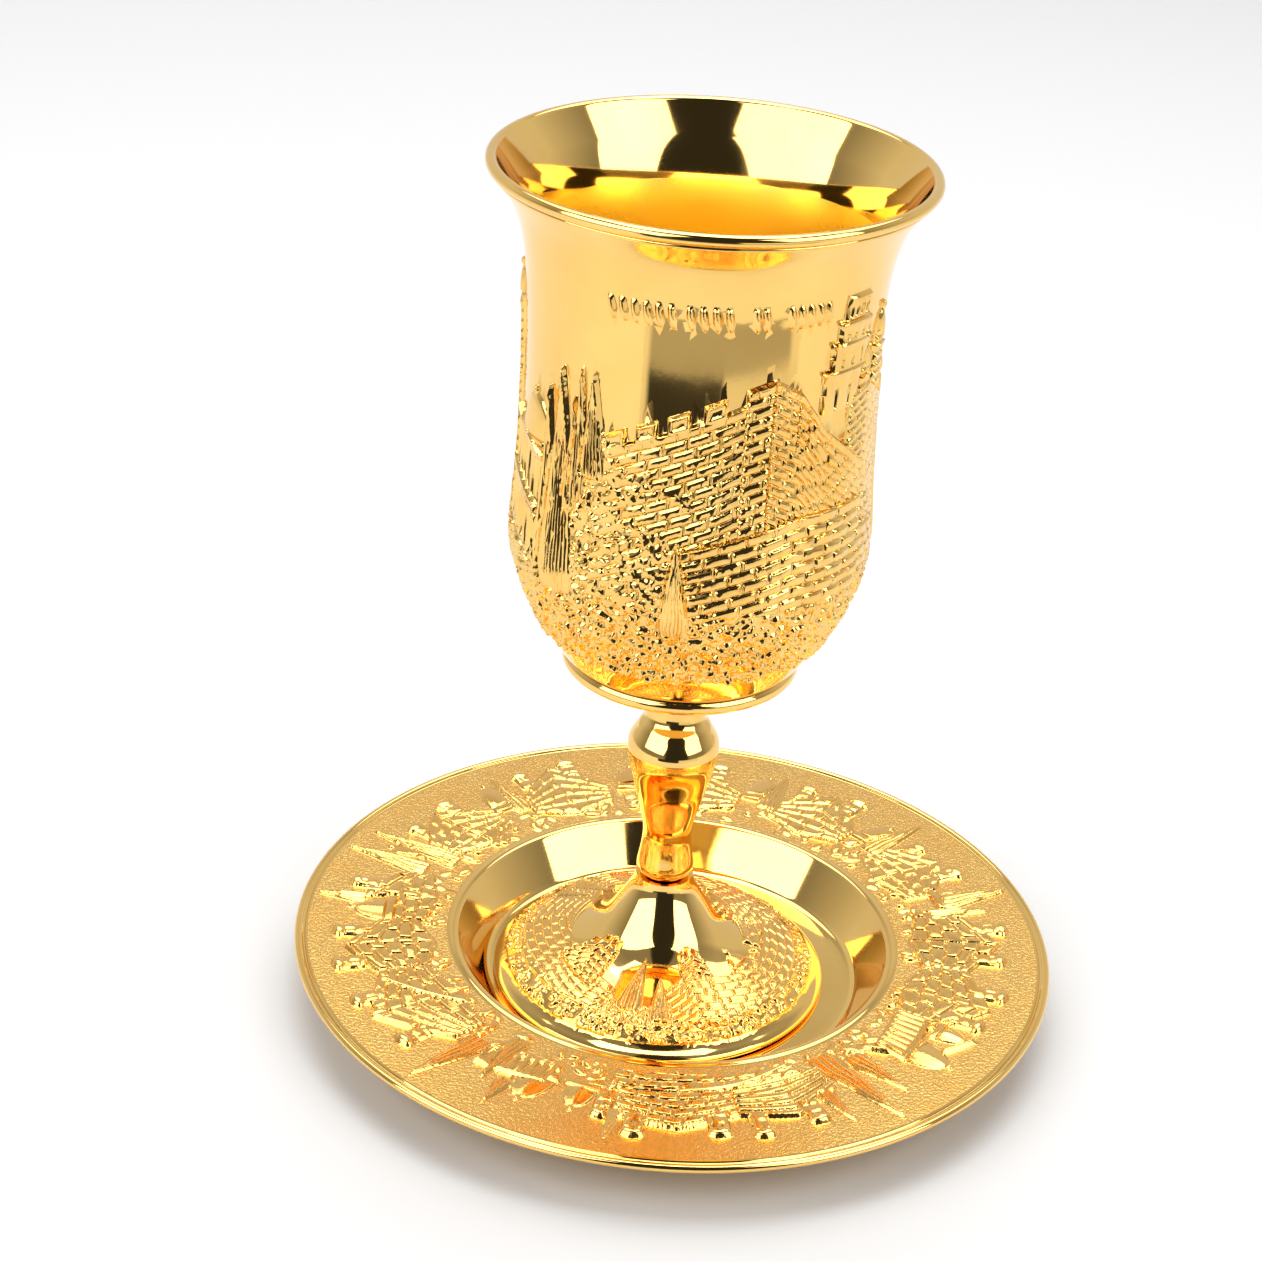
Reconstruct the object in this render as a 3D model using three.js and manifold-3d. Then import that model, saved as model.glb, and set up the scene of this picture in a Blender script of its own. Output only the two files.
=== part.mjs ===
// Kiddush cup standing in the well of its saucer, cast and gold plated, in four pieces.
// A walled hill city runs in relief round the bowl, the foot and the saucer's rim.
// Millimetres, +Z up, origin at the middle of the saucer's underside, front towards -Y.
import * as THREE from 'three';
import { mergeVertices } from 'three/addons/utils/BufferGeometryUtils.js';
import Module from 'manifold-3d';

const wasm = await Module();
wasm.setup();

// Fits between the pieces
const seamGap = 0.3;            // left between pieces that touch
const footPlay = 3.6;           // between the foot's edge and the well's wall, all round
const setDown = -0.65 * footPlay; // the cup was set down a little to the left of the well's middle

// Foot
const footRadius = 30.8;
const footEdge = 1.2;           // height of the foot's upright edge
const footHeight = 21.3;
const footWall = 1.9;
const footHollow = 0.36;        // share of the foot's height that is hollow in its middle
const flangeWidth = 2.1;        // plain flange outside the relief
const neckRadius = 5.3;

// Stem
const stemLength = 42.6;
const collarRadius = 5.2;
const collarRound = 1.2;        // how far the collar curves in at its seam
const waistRadius = 4.5;
const bulbRadius = 8.3;
const stemTopRadius = 5;

// Bowl
const bowlHeight = 91.4;
const bowlWall = 1.5;
const bowlFloor = 5;
const lipRadius = 37.2;         // outside of the rolled lip
const lipBead = 1;              // radius of the roll
const throatRadius = 29.35;     // narrowest place of the outer wall
const bellyRadius = 30.3;       // widest place below it
const baseRadius = 20.9;        // plain ring under the relief
const baseRing = 2.4;           // height of that ring
const baseChamfer = 0.6;
const bossDepth = 1;            // boss under the base, on which the stem's top is screwed
const bossMargin = 1;           // how much wider the boss is than the stem's top

// Saucer
const saucerRadius = 70;
const saucerHeight = 10.6;      // table to the top of the rim
const saucerWall = 1.6;
const wellFloor = 1.8;          // thickness of the well's floor
const wellFlare = 5.5;          // how much wider the well is at its top than at its floor
const wellRound = 0.45;         // rounding where the well's wall meets its floor and the rim
const wellLip = 0.2;            // fine raised edge round the well
const innerBand = 4;            // plain band round the well
const outerBand = 2.4;          // plain ground and rolled edge outside the relief
const edgeBead = 0.75;          // radius of the rolled edge

// Relief
const bowlRelief = 0.9;
const leafBank = 0.5;
const footRelief = 0.6;
const saucerRelief = 0.7;
const reliefRoot = 0.6;         // share of the wall that the relief's blocks reach into
const columnStep = 12;          // degrees between the columns of a long block
const merlonRise = 4;           // height of a merlon, in shares of the scene
const merlonGap = 0.36;         // share of the pitch that is open between merlons
const merlonDraft = 0.5;        // degrees that a merlon's side leans

// Facets round each piece
const bowlSides = 36;
const stemSides = 20;
const footSides = 28;
const saucerSides = 40;

const mix = THREE.MathUtils.lerp;
const pair = (radius, height) => new THREE.Vector2(radius, height);

// A turned solid from a closed outline of radius and height pairs
function turned(outline, sides) {
  const lathe = new THREE.LatheGeometry(outline, sides);
  lathe.rotateX(Math.PI / 2);
  return solidOf(lathe);
}

// Round stretch of an outline about a middle, between two angles in degrees
function arc(middle, radius, from, to, steps) {
  return Array.from({ length: steps + 1 }, (_, i) => {
    const turn = THREE.MathUtils.degToRad(mix(from, to, i / steps));
    return pair(middle.x + radius * Math.cos(turn), middle.y + radius * Math.sin(turn));
  });
}

// The point at a share of a curve's length, moved off the curve to its outer side
function beside(curve, share, distance) {
  const point = curve.getPointAt(share);
  const along = curve.getTangentAt(share);
  return pair(point.x + distance * along.y, point.y - distance * along.x);
}

// Points along the inner side of a curve
function inside(curve, distance, from, to, steps) {
  return Array.from({ length: steps + 1 }, (_, i) => beside(curve, mix(from, to, i / steps), -distance));
}

function signedVolume(position, index) {
  const [a, b, c] = [new THREE.Vector3(), new THREE.Vector3(), new THREE.Vector3()];
  let volume = 0;
  for (let i = 0; i < index.length; i += 3) {
    a.fromArray(position, 3 * index[i]);
    b.fromArray(position, 3 * index[i + 1]);
    c.fromArray(position, 3 * index[i + 2]);
    volume += a.dot(b.cross(c)) / 6;
  }
  return volume;
}

// A closed mesh as a solid, its faces turned outwards
function solidOf(geometry) {
  geometry.deleteAttribute('normal');
  geometry.deleteAttribute('uv');
  const merged = mergeVertices(geometry, 1e-4);
  const position = merged.attributes.position.array;
  const index = Array.from(merged.index.array);
  const faces = [];
  for (let i = 0; i < index.length; i += 3) {
    const [a, b, c] = index.slice(i, i + 3);
    if (a !== b && b !== c && c !== a) faces.push(a, b, c);
  }
  if (signedVolume(position, faces) < 0) faces.reverse();
  return new wasm.Manifold(new wasm.Mesh({
    numProp: 3,
    vertProperties: new Float32Array(position),
    triVerts: new Uint32Array(faces),
  }));
}

// A turned surface that carries relief. rise runs from 0 at the foot of the scene to 100 at its
// sky, along the outline between two shares of its length; lift stands off the surface. root is
// the depth that its blocks reach into the wall, and rowStep the tallest row of a block's face.
function reliefSurface(curve, { from, to, wallDepth, rowStep }) {
  const place = (angle, rise, lift) => {
    const spot = beside(curve, mix(from, to, rise / 100), lift);
    const turn = THREE.MathUtils.degToRad(angle);
    return new THREE.Vector3(spot.x * Math.sin(turn), -spot.x * Math.cos(turn), spot.y);
  };
  return { place, root: reliefRoot * wallDepth, rowStep };
}

function meshSolid(points, faces) {
  const geometry = new THREE.BufferGeometry();
  geometry.setAttribute('position', new THREE.Float32BufferAttribute(points.flatMap((p) => [p.x, p.y, p.z]), 3));
  geometry.setIndex(faces);
  return solidOf(geometry);
}

// A raised block between columns of { angle, low, high }, with its face in rows
function block(surface, columns, lift) {
  const tallest = Math.max(...columns.map(({ low, high }) => high - low));
  const rows = Math.ceil(tallest / surface.rowStep);
  const points = [];
  for (const level of [lift, -surface.root]) {
    for (const { angle, low, high } of columns) {
      for (let j = 0; j <= rows; j += 1) points.push(surface.place(angle, mix(low, high, j / rows), level));
    }
  }
  const tall = rows + 1;
  const back = columns.length * tall;
  const faces = [];
  const quad = (a, b, c, d) => faces.push(a, b, c, a, c, d);
  for (let i = 0; i + 1 < columns.length; i += 1) {
    for (let j = 0; j < rows; j += 1) {
      const at = i * tall + j;
      quad(at, at + tall, at + tall + 1, at + 1);
      quad(back + at, back + at + 1, back + at + tall + 1, back + at + tall);
    }
    const low = i * tall;
    const high = low + rows;
    quad(low, back + low, back + low + tall, low + tall);
    quad(high, high + tall, back + high + tall, back + high);
  }
  const last = (columns.length - 1) * tall;
  for (let j = 0; j < rows; j += 1) {
    quad(j, j + 1, back + j + 1, back + j);
    quad(last + j, back + last + j, back + last + j + 1, last + j + 1);
  }
  return meshSolid(points, faces);
}

// A raised mound over an outline of [across, up] pairs from -1 to 1, highest in its middle
function mound(surface, { at, rise, wide, tall, outline, shoulder }, lift) {
  const ring = ([share, level]) => outline.map(([x, y]) => (
    surface.place(at + x * share * wide, rise + y * share * tall, level)));
  const levels = [[1, -surface.root], ...shoulder.map(([share, height]) => [share, height * lift])];
  const points = levels.flatMap(ring);
  const count = outline.length;
  const last = points.length - count;
  const top = points.push(surface.place(at, rise, lift)) - 1;
  const floor = points.push(surface.place(at, rise, -surface.root)) - 1;
  const faces = [];
  for (let i = 0; i < count; i += 1) {
    const next = (i + 1) % count;
    faces.push(floor, next, i);
    for (let level = 0; level < last; level += count) {
      faces.push(level + i, level + next, level + count + next);
      faces.push(level + i, level + count + next, level + count + i);
    }
    faces.push(last + i, last + next, top);
  }
  return meshSolid(points, faces);
}

const round = (sides) => Array.from({ length: sides }, (_, i) => (
  [Math.cos(i * 2 * Math.PI / sides), Math.sin(i * 2 * Math.PI / sides)]));
const pointed = [[0.75, -1], [1, -0.45], [0.45, 0.35], [0, 1], [-0.45, 0.35], [-1, -0.45], [-0.75, -1]];
const crowned = [[0.85, 0.7]];
const sloped = [[0.9, 0.5]];

// The kinds of thing in the scene. Angles are in degrees, heights in shares of the scene's height.

// A straight wall whose top runs from one height to another, with a battlement of merlons
function wall(surface, lift, { from, to, low, high, end = high, merlons = 0, proud = 1 }) {
  const columns = [];
  const column = (angle, raised) => {
    const top = mix(high, end, (angle - from) / (to - from));
    columns.push({ angle, low, high: top + (raised ? merlonRise : 0) });
  };
  if (merlons === 0) {
    const steps = Math.ceil((to - from) / columnStep);
    for (let i = 0; i <= steps; i += 1) column(mix(from, to, i / steps), false);
  }
  const pitch = (to - from) / (merlons - merlonGap);
  for (let i = 0; i < merlons; i += 1) {
    const left = from + i * pitch;
    const right = left + (1 - merlonGap) * pitch;
    if (i > 0) column(left, false);
    column(left + (i > 0 ? merlonDraft : 0), true);
    column(right - (i < merlons - 1 ? merlonDraft : 0), true);
    if (i < merlons - 1) column(right, false);
  }
  return [block(surface, columns, proud * lift)];
}

// A square tower with two merlons, or with a round cap
function tower(surface, lift, { at, wide, low, high, cap = 0, proud = 1.2 }) {
  const shaft = wall(surface, lift, { from: at - wide, to: at + wide, low, high, merlons: cap ? 0 : 2, proud });
  if (cap === 0) return shaft;
  const roof = { at, rise: high + 0.4 * cap, wide: 0.8 * wide, tall: cap, outline: round(6), shoulder: sloped };
  return [...shaft, mound(surface, roof, 1.4 * lift)];
}

// A tower in tiers that get narrower, each with a ledge, under a small spire
function tiers(surface, lift, { at, wide, low, high, levels }) {
  const parts = [];
  for (let i = 0; i < levels; i += 1) {
    const half = wide * (1 - 0.24 * i);
    const foot = mix(low, high, i / (levels + 0.6));
    const top = mix(low, high, (i + 1) / (levels + 0.6));
    const body = [at - half, at, at + half].map((angle) => ({ angle, low: foot - 1, high: top }));
    const ledge = [at - half - 1, at, at + half + 1].map((angle) => ({ angle, low: top - 1.6, high: top + 0.2 }));
    parts.push(block(surface, body, (1.1 - 0.12 * i) * lift));
    parts.push(block(surface, ledge, (1.4 - 0.12 * i) * lift));
  }
  const spire = { at, rise: high - 4, wide: 0.3 * wide, tall: 6, outline: pointed, shoulder: sloped };
  return [...parts, mound(surface, spire, lift)];
}

// A dome over a low drum
function dome(surface, lift, { at, wide, low, high }) {
  const drum = [at - 0.85 * wide, at, at + 0.85 * wide].map((angle) => ({ angle, low, high: mix(low, high, 0.5) }));
  const half = (high - low) / 2;
  const roof = { at, rise: high - half, wide, tall: half, outline: round(7), shoulder: crowned };
  return [block(surface, drum, 0.8 * lift), mound(surface, roof, 1.3 * lift)];
}

const cypress = (surface, lift, { at, wide, low, high }) => {
  const tree = { at, rise: (low + high) / 2, wide, tall: (high - low) / 2, outline: pointed, shoulder: sloped };
  return [mound(surface, tree, 1.1 * lift)];
};

const bush = (surface, lift, { at, wide, low, high }) => {
  const leaves = { at, rise: (low + high) / 2, wide, tall: (high - low) / 2, outline: round(7), shoulder: sloped };
  return [mound(surface, leaves, 1.25 * lift)];
};

// The scene round the bowl, from the left of the front to its right and on round the back
const bowlScene = [
  [tower, { at: -88, wide: 5.5, low: 28, high: 76, cap: 7 }],
  [wall, { from: -77, to: -50, low: 30, high: 52, end: 56, proud: 0.7 }],
  [dome, { at: -62, wide: 9.5, low: 50, high: 63 }],
  [cypress, { at: -47.5, wide: 4.5, low: 22, high: 74 }],
  [cypress, { at: -41, wide: 3.4, low: 34, high: 69 }],
  [cypress, { at: -33, wide: 3.8, low: 50, high: 76 }],
  [wall, { from: -29, to: 14, low: 22, high: 59, end: 70, merlons: 4 }],
  [wall, { from: 12.5, to: 32, low: 34, high: 75, end: 77, proud: 1.2 }],
  [wall, { from: 28, to: 62, low: 34, high: 71, end: 56, merlons: 3, proud: 0.85 }],
  [wall, { from: 4, to: 66, low: 18, high: 36, end: 40, proud: 1.35 }],
  [tiers, { at: 53, wide: 10.5, low: 60, high: 99, levels: 3 }],
  [tower, { at: 71, wide: 4.5, low: 30, high: 80, cap: 7 }],
  [wall, { from: 66, to: 104, low: 22, high: 58, end: 52, proud: 0.8 }],
  [bush, { at: -28, wide: 8, low: 38, high: 58 }],
  [bush, { at: -20, wide: 10, low: 22, high: 42 }],
  [cypress, { at: -2, wide: 4.6, low: 18, high: 41 }],
  [tower, { at: 112, wide: 8, low: 22, high: 66 }],
  [wall, { from: 122, to: 160, low: 20, high: 54, end: 48, merlons: 3, proud: 0.8 }],
  [cypress, { at: 169, wide: 4.5, low: 24, high: 72 }],
  [wall, { from: 180, to: 226, low: 22, high: 50, end: 62, proud: 0.8 }],
  [tower, { at: 203, wide: 7, low: 30, high: 74 }],
  [wall, { from: 246, to: 276, low: 22, high: 56, end: 48, proud: 0.8 }],
];

// The scene on the foot's dome
const footScene = [
  [wall, { from: -100, to: -34, low: 8, high: 42, end: 48, proud: 0.8 }],
  [tower, { at: -42, wide: 12, low: 34, high: 76 }],
  [cypress, { at: -8, wide: 9, low: 22, high: 84 }],
  [wall, { from: 10, to: 96, low: 8, high: 50, end: 40, merlons: 3, proud: 0.8 }],
  [tower, { at: 38, wide: 13, low: 38, high: 76 }],
  [dome, { at: 68, wide: 11, low: 36, high: 66 }],
  [tower, { at: 122, wide: 12, low: 20, high: 76 }],
  [wall, { from: 142, to: 204, low: 8, high: 46, end: 54, proud: 0.8 }],
  [cypress, { at: 224, wide: 9, low: 18, high: 76 }],
];

// The scene round the saucer's rim, its sky towards the rim's edge
const saucerScene = [
  [wall, { from: -76, to: -40, low: 12, high: 58, end: 62, merlons: 3, proud: 0.8 }],
  [tower, { at: -73, wide: 2.6, low: 8, high: 72, cap: 10 }],
  [tower, { at: -51, wide: 3.2, low: 8, high: 72, cap: 12 }],
  [cypress, { at: -33, wide: 2.2, low: 44, high: 95 }],
  [dome, { at: -19, wide: 5, low: 44, high: 72 }],
  [wall, { from: -8, to: 30, low: 14, high: 58, end: 62, proud: 0.8 }],
  [tower, { at: -4, wide: 3.4, low: 8, high: 72, cap: 9 }],
  [tower, { at: 14, wide: 4.4, low: 8, high: 66, cap: 12 }],
  [cypress, { at: 36, wide: 2.6, low: 26, high: 92 }],
  [dome, { at: 50, wide: 5, low: 40, high: 74 }],
  [wall, { from: 60, to: 100, low: 12, high: 56, end: 60, proud: 0.8 }],
  [tower, { at: 67, wide: 3, low: 8, high: 74, cap: 9 }],
  [tower, { at: 88, wide: 3.4, low: 8, high: 66, cap: 10 }],
  [cypress, { at: 109, wide: 2.4, low: 34, high: 97 }],
  [wall, { from: 120, to: 164, low: 14, high: 52, end: 58, merlons: 4, proud: 0.8 }],
  [tower, { at: 134, wide: 3.6, low: 8, high: 66 }],
  [dome, { at: 150, wide: 5, low: 50, high: 82 }],
  [wall, { from: 174, to: 214, low: 16, high: 48, end: 58, proud: 0.8 }],
  [tower, { at: 238, wide: 5, low: 12, high: 64 }],
  [cypress, { at: 252, wide: 2.4, low: 30, high: 96 }],
  [dome, { at: 269, wide: 5.5, low: 36, high: 76 }],
];

function carved(body, surface, lift, scene) {
  return scene
    .flatMap(([kind, sizes]) => kind(surface, lift, sizes))
    .reduce((solid, part) => solid.add(part), body);
}

// The bowl's outer wall, from the ring at its base to the lip
const flare = lipRadius - throatRadius;
const bowlCurve = new THREE.SplineCurve([
  pair(baseRadius, baseRing),
  pair(mix(baseRadius, bellyRadius, 0.42), 0.1 * bowlHeight),
  pair(mix(baseRadius, bellyRadius, 0.81), 0.19 * bowlHeight),
  pair(bellyRadius, 0.28 * bowlHeight),
  pair(mix(throatRadius, bellyRadius, 0.35), 0.42 * bowlHeight),
  pair(throatRadius, 0.58 * bowlHeight),
  pair(throatRadius + 0.04 * flare, 0.735 * bowlHeight),
  pair(throatRadius + 0.15 * flare, 0.84 * bowlHeight),
  pair(throatRadius + 0.39 * flare, 0.912 * bowlHeight),
  pair(throatRadius + 0.77 * flare, 0.968 * bowlHeight),
]);

// Where the bowl's wall has its rings of facets, close together only where it curves, and how far
// each stands out of the curve: a bank of leaves runs all round under the scene
const bowlRows = [
  [0, 0], [0.07, 0], [0.1, leafBank], [0.19, leafBank], [0.28, leafBank],
  [0.45, 0], [0.66, 0], [0.8, 0], [0.87, 0], [0.94, 0], [1, 0],
];

function bowl() {
  const lipMiddle = pair(lipRadius - lipBead, bowlHeight - lipBead);
  const inner = inside(bowlCurve, bowlWall, 0.96, 0.12, 4);
  const bottom = inner.at(-1);
  const outline = [
    pair(0, -bossDepth),
    pair(stemTopRadius + bossMargin, -bossDepth),
    pair(baseRadius - 3 * baseChamfer, 0),
    pair(baseRadius - baseChamfer, 0),
    pair(baseRadius, 2 * baseChamfer),
    ...bowlRows.map(([share, proud]) => beside(bowlCurve, share, proud)),
    ...arc(lipMiddle, lipBead, -50, 160, 3),
    ...inner,
    pair(0.7 * bottom.x, mix(bowlFloor, bottom.y, 0.28)),
    pair(0, bowlFloor),
  ];
  const surface = reliefSurface(bowlCurve, { from: 0.07, to: 0.86, wallDepth: bowlWall, rowStep: 62 });
  return carved(turned(outline, bowlSides), surface, bowlRelief, bowlScene);
}

function stem() {
  const side = new THREE.SplineCurve([
    pair(collarRadius, 0.045 * stemLength),
    pair(waistRadius, 0.22 * stemLength),
    pair(mix(waistRadius, bulbRadius, 0.55), 0.43 * stemLength),
    pair(bulbRadius, 0.625 * stemLength),
    pair(mix(bulbRadius, stemTopRadius, 0.5), 0.725 * stemLength),
    pair(stemTopRadius, 0.79 * stemLength),
    pair(stemTopRadius, 0.95 * stemLength),
  ]);
  const outline = [
    pair(0, 0),
    pair(collarRadius - collarRound, 0),
    pair(collarRadius - 0.3 * collarRound, 0.015 * stemLength),
    ...side.getSpacedPoints(10),
    pair(stemTopRadius, stemLength),
    pair(0, stemLength),
  ];
  return turned(outline, stemSides);
}

// The foot's upper side, from the flange up the dome and the neck
const domeRadius = footRadius - flangeWidth;
const domeDrop = footHeight - 2 * footEdge;
const footCurve = new THREE.SplineCurve([
  pair(domeRadius, 2 * footEdge),
  pair(mix(neckRadius, domeRadius, 0.84), 2 * footEdge + 0.13 * domeDrop),
  pair(mix(neckRadius, domeRadius, 0.62), 2 * footEdge + 0.23 * domeDrop),
  pair(mix(neckRadius, domeRadius, 0.41), 2 * footEdge + 0.32 * domeDrop),
  pair(mix(neckRadius, domeRadius, 0.25), 2 * footEdge + 0.46 * domeDrop),
  pair(mix(neckRadius, domeRadius, 0.13), 2 * footEdge + 0.66 * domeDrop),
  pair(mix(neckRadius, domeRadius, 0.03), 2 * footEdge + 0.87 * domeDrop),
  pair(neckRadius, footHeight),
]);

function foot() {
  const outline = [
    pair(0, footHollow * footHeight),
    ...inside(footCurve, footWall, 0.42, 0.06, 2),
    pair(domeRadius, 0),
    pair(footRadius, 0),
    pair(footRadius, 0.66 * footEdge),
    pair(footRadius - 0.4 * footEdge, footEdge),
    ...footCurve.getSpacedPoints(7),
    pair(0, footHeight),
  ];
  const surface = reliefSurface(footCurve, { from: 0.03, to: 0.62, wallDepth: footWall, rowStep: 40 });
  return carved(turned(outline, footSides), surface, footRelief, footScene);
}

// The saucer's rim, from its edge inwards, so that the relief's face is upwards
const wellRadius = footRadius + footPlay;
const wellTop = wellRadius + wellFlare;
const rimDip = 0.5;             // the rim's inner side lies a little lower than its edge
const rimCurve = new THREE.LineCurve(
  pair(saucerRadius - outerBand, saucerHeight),
  pair(wellTop + innerBand, saucerHeight - rimDip),
);

function saucer() {
  const edgeMiddle = pair(saucerRadius - edgeBead, saucerHeight - 0.7 * edgeBead);
  const under = saucerHeight - saucerWall;
  const outline = [
    pair(0, 0),
    pair(wellRadius - wellRound, 0),
    pair(wellRadius + 0.5 * saucerWall, 0.5 * wellFloor),
    pair(wellTop + 0.9 * saucerWall, under - rimDip),
    pair(saucerRadius - 2 * edgeBead, under),
    ...arc(edgeMiddle, edgeBead, -60, 120, 3),
    pair(saucerRadius - 2.4 * edgeBead, saucerHeight - 0.35 * edgeBead),
    rimCurve.getPoint(0),
    rimCurve.getPoint(1),
    pair(wellTop + 2 * wellRound, saucerHeight - rimDip + wellLip),
    pair(wellTop - 0.5 * wellRound, saucerHeight - rimDip - wellRound),
    pair(wellRadius + wellRound, wellFloor + 1.3 * wellRound),
    pair(wellRadius - wellRound, wellFloor),
    pair(0, wellFloor),
  ];
  const surface = reliefSurface(rimCurve, { from: 1, to: 0, wallDepth: saucerWall, rowStep: 100 });
  return carved(turned(outline, saucerSides), surface, saucerRelief, saucerScene);
}

function gilt(name, solid, height) {
  const { vertProperties, triVerts } = solid.getMesh();
  const geometry = new THREE.BufferGeometry();
  geometry.setAttribute('position', new THREE.BufferAttribute(Float32Array.from(vertProperties), 3));
  geometry.setIndex(Array.from(triVerts));
  geometry.computeVertexNormals();
  const material = new THREE.MeshStandardMaterial({ color: 0xe8be64, roughness: 0.12, metalness: 1 });
  const mesh = new THREE.Mesh(geometry, material);
  mesh.name = name;
  mesh.position.z = height;
  return mesh;
}

const stemBase = footHeight + seamGap;
const bowlBase = stemBase + stemLength + seamGap + bossDepth;

const cup = new THREE.Group();
cup.position.set(setDown, 0, wellFloor + seamGap);
cup.add(gilt('foot', foot(), 0), gilt('stem', stem(), stemBase), gilt('bowl', bowl(), bowlBase));

const set = new THREE.Group();
set.add(gilt('saucer', saucer(), 0), cup);

export default set;
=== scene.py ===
# The looks of a gold plated kiddush cup on its saucer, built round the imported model.
# Pieces are turned and carved in millimetres and brought to metres when they are finished.
import math

import bmesh
import bpy
import numpy as np
from mathutils import Matrix, Vector


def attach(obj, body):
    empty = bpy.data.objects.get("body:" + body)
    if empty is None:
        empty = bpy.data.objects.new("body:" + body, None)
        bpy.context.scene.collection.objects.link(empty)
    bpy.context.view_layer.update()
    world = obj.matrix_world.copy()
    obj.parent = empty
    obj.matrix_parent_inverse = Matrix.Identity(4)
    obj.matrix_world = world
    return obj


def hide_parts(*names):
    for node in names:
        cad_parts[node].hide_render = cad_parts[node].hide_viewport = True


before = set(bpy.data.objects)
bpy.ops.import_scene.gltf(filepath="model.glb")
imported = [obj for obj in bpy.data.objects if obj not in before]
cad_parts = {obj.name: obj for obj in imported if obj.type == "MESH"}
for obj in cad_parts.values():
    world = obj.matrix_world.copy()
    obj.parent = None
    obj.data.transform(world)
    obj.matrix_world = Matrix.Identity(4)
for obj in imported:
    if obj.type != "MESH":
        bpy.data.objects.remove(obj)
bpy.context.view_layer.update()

MM = 0.001
PLAIN = -1                  # marks the points of a turned piece that carry no carving
CARVED_FROM = 0.012         # what is raised less than this counts as plain ground
CUP_OFFSET = -2.34          # the cup stands a little to the left of the well's middle
FOOT_BASE = 2.1             # heights of the pieces' undersides above the table
STEM_BASE = 23.7
BOWL_BASE = 67.6
SHARP_FROM = 42             # edges that turn by more than these degrees stay sharp


# Turned outlines

class Curve:
    """A smooth curve through (radius, height) points, read by shares of its length."""

    def __init__(self, points, steps=60):
        points = np.array(points, float)
        spots = []
        last = len(points) - 1
        for i in range(last):
            before, here = points[max(i - 1, 0)], points[i]
            there, after = points[i + 1], points[min(i + 2, last)]
            leave, arrive = (there - before) / 2, (after - here) / 2
            t = np.linspace(0, 1, steps, endpoint=False)[:, None]
            spots.append((2 * here - 2 * there + leave + arrive) * t ** 3
                         + (3 * there - 3 * here - 2 * leave - arrive) * t ** 2 + leave * t + here)
        self.spots = np.vstack(spots + [points[-1:]])
        steps = np.hypot(*np.diff(self.spots, axis=0).T)
        self.length = steps.sum()
        self.shares = np.concatenate([[0], np.cumsum(steps)]) / self.length

    def at(self, share):
        """Points at the shares, and the outward normals there."""
        share = np.atleast_1d(share)
        radius, height = (np.interp(share, self.shares, self.spots[:, k]) for k in (0, 1))
        slopes = np.gradient(self.spots, axis=0)
        along = np.stack([np.interp(share, self.shares, slopes[:, k]) for k in (0, 1)], 1)
        along /= np.linalg.norm(along, axis=1)[:, None]
        return np.stack([radius, height], 1), np.stack([along[:, 1], -along[:, 0]], 1)

    def beside(self, share, distance):
        spots, outward = self.at(share)
        return spots + distance * outward


def rounded(corners, steps=4):
    """An outline through corners of (radius, height, rounding), each corner cut by its rounding."""
    spots = [np.array(corner[:2], float) for corner in corners]
    outline = [spots[0]]
    for before, here, after, corner in zip(spots, spots[1:], spots[2:], corners[1:]):
        cut = corner[2] if len(corner) > 2 else 0
        if cut == 0:
            outline.append(here)
            continue
        start = here + (before - here) * min(cut / np.linalg.norm(before - here), 0.5)
        end = here + (after - here) * min(cut / np.linalg.norm(after - here), 0.5)
        for t in np.linspace(0, 1, steps + 1):
            outline.append((1 - t) ** 2 * start + 2 * t * (1 - t) * here + t ** 2 * end)
    return np.array(outline + [spots[-1]])


def arc(middle, radius, start, end, steps):
    turns = np.radians(np.linspace(start, end, steps + 1))
    return np.stack([middle[0] + radius * np.cos(turns), middle[1] + radius * np.sin(turns)], 1)


def numbers(items, name, width=1):
    """One property of many mesh items, as an array."""
    kind = np.int32 if name in ("vertex_index", "loop_total") else np.float32
    values = np.zeros(len(items) * width, kind)
    items.foreach_get(name, values)
    return values.reshape(-1, width) if width > 1 else values


def crowded(turn, front):
    """Half turns from the front, moved so that the columns lie closer together on the front."""
    return turn * (1 - front * (1 - turn * turn))


def turned(outline, sides, front=0.0):
    """A plain turned shell: an outline of (radius, height) points spun about the upright axis."""
    bm = bmesh.new()
    along = bm.verts.layers.float.new("along")
    verts = [bm.verts.new((radius, 0, height)) for radius, height in outline]
    for vert in verts:
        vert[along] = PLAIN
    edges = [bm.edges.new(two) for two in zip(verts, verts[1:])]
    bmesh.ops.spin(bm, geom=verts + edges, cent=(0, 0, 0), axis=(0, 0, 1),
                   angle=2 * math.pi, steps=sides, use_merge=True)
    poles = [vert for vert in bm.verts if math.hypot(vert.co.x, vert.co.y) < 1e-4]
    bmesh.ops.remove_doubles(bm, verts=poles, dist=1e-3)
    mesh = as_mesh(bm)
    co = numbers(mesh.vertices, "co", 3)
    radius = np.hypot(co[:, 0], co[:, 1])
    angle = math.pi * crowded(np.arctan2(co[:, 0], -co[:, 1]) / math.pi, front)
    co[:, 0], co[:, 1] = radius * np.sin(angle), -radius * np.cos(angle)
    mesh.vertices.foreach_set("co", co.ravel())
    return mesh


def as_mesh(bm):
    mesh = bpy.data.meshes.new("part")
    bm.to_mesh(mesh)
    bm.free()
    return mesh


# Carving: a sheet of heights that is wrapped round a turned surface

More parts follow.
